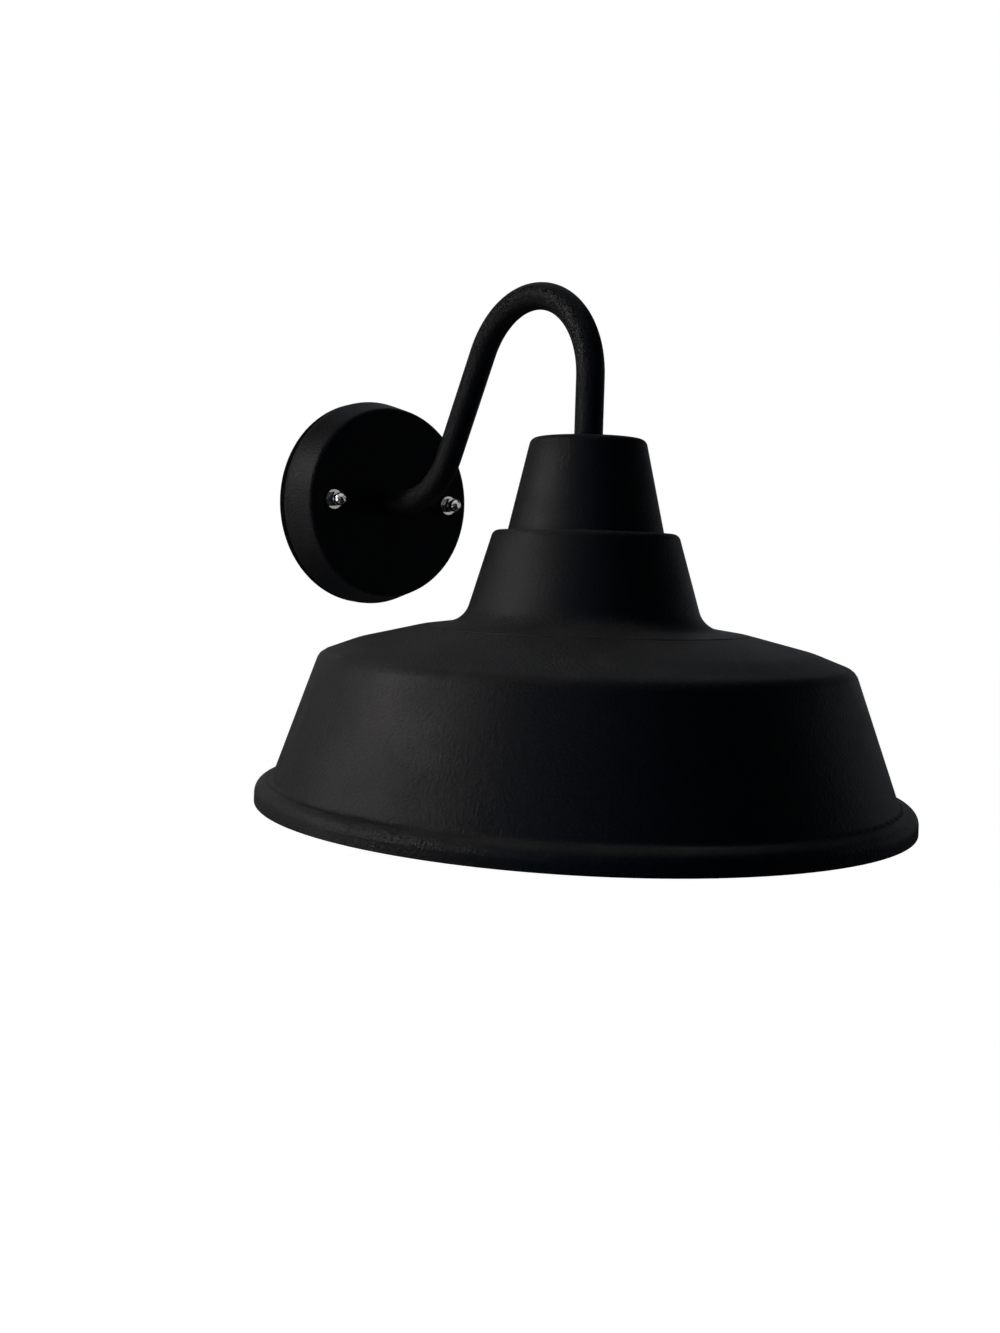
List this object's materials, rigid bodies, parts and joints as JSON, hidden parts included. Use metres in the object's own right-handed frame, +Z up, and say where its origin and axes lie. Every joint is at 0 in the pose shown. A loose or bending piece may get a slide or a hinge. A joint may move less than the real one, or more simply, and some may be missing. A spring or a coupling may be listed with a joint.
{
  "type": "outdoor wall lamp",
  "caption": "Outdoor wall lamp with a round canopy, a gooseneck arm and a wide stepped barn shade over a screw-in lamp.",
  "frame": {"origin": "centre of the canopy on the wall plane", "axes": "+Y into the wall, +Z up, +X to the right as seen from in front of the wall"},
  "size_m": [0.3144, 0.3517, 0.2615],
  "materials": {
    "black_paint": "matt fine texture",
    "black_rubber": "matt",
    "bright_nickel": "polished",
    "zinc_steel": "satin",
    "brass": "satin",
    "porcelain": "glazed",
    "block_plastic": "matt",
    "bush_plastic": "matt",
    "wire_brown": "satin",
    "wire_blue": "satin",
    "wire_green_yellow": "satin",
    "lamp_metal": "satin",
    "lamp_insulation": "gloss",
    "lamp_plastic": "satin",
    "lamp_board": "matt",
    "opal": "satin"
  },
  "bodies": {
    "fixture": {"canopy": "black_paint", "gooseneck_arm": "black_paint", "shade_cap": "black_paint", "shade_neck": "black_paint", "shade_dish": "black_paint", "wall_gasket": "black_rubber", "stud_seals": "black_rubber", "arm_seals": "black_rubber", "cap_gasket": "black_rubber", "mounting_bracket": "zinc_steel", "bracket_studs": "zinc_steel", "arm_nipples": "zinc_steel", "nipple_washers": "zinc_steel", "nipple_nuts": "zinc_steel", "holder_bracket": "zinc_steel", "holder_screws": "zinc_steel", "cap_screws": "zinc_steel", "terminal_block_screws": "zinc_steel", "earth_screw": "zinc_steel", "earth_cup_washer": "zinc_steel", "terminal_clamp_screws": "zinc_steel", "terminal_sleeves": "brass", "holder_terminals": "brass", "holder_terminal_screws": "brass", "holder_rivets": "brass", "holder_screw_shell": "brass", "holder_centre_contact": "brass", "earth_ring_terminal": "brass", "holder_body": "porcelain", "terminal_block": "block_plastic", "wire_bushes": "bush_plastic", "wire_live": "wire_brown", "wire_neutral": "wire_blue", "wire_earth": "wire_green_yellow"},
    "washer_left": {"cap_washer_left": "bright_nickel"},
    "nut_left": {"cap_nut_left": "bright_nickel"},
    "washer_right": {"cap_washer_right": "bright_nickel"},
    "nut_right": {"cap_nut_right": "bright_nickel"},
    "lamp_button": {"lamp_contact": "lamp_metal"},
    "lamp": {"lamp_insulator": "lamp_insulation", "lamp_screw_cap": "lamp_metal", "lamp_housing": "lamp_plastic", "lamp_led_board": "lamp_board", "lamp_diffuser": "opal"}
  },
  "joints": [
    {"name": "washer_left_slide", "type": "slide", "parent": "fixture", "child": "washer_left", "axis": [0, -1, 0], "range_m": [0, 0.0066]},
    {"name": "nut_left_turn", "type": "hinge", "parent": "washer_left", "child": "nut_left", "pos_m": [-0.0405, -0.0335, 0], "axis": [0, -1, 0], "range_deg": [0, 2975]},
    {"name": "washer_right_slide", "type": "slide", "parent": "fixture", "child": "washer_right", "axis": [0, -1, 0], "range_m": [0, 0.0066]},
    {"name": "nut_right_turn", "type": "hinge", "parent": "washer_right", "child": "nut_right", "pos_m": [0.0405, -0.0335, 0], "axis": [0, -1, 0], "range_deg": [0, 2975]},
    {"name": "lamp_slide", "type": "slide", "parent": "fixture", "child": "lamp_button", "axis": [0, 0, -1], "range_m": [0, 0.0163]},
    {"name": "lamp_turn", "type": "hinge", "parent": "lamp_button", "child": "lamp", "pos_m": [0, -0.1945, -0.06], "axis": [0, 0, -1], "range_deg": [0, 1620]}
  ],
  "couplings": [
    {"joint": "nut_left_turn", "follows": "washer_left_slide", "rad_per_m": 7854},
    {"joint": "nut_right_turn", "follows": "washer_right_slide", "rad_per_m": 7854},
    {"joint": "lamp_turn", "follows": "lamp_slide", "rad_per_m": 1730.9}
  ]
}
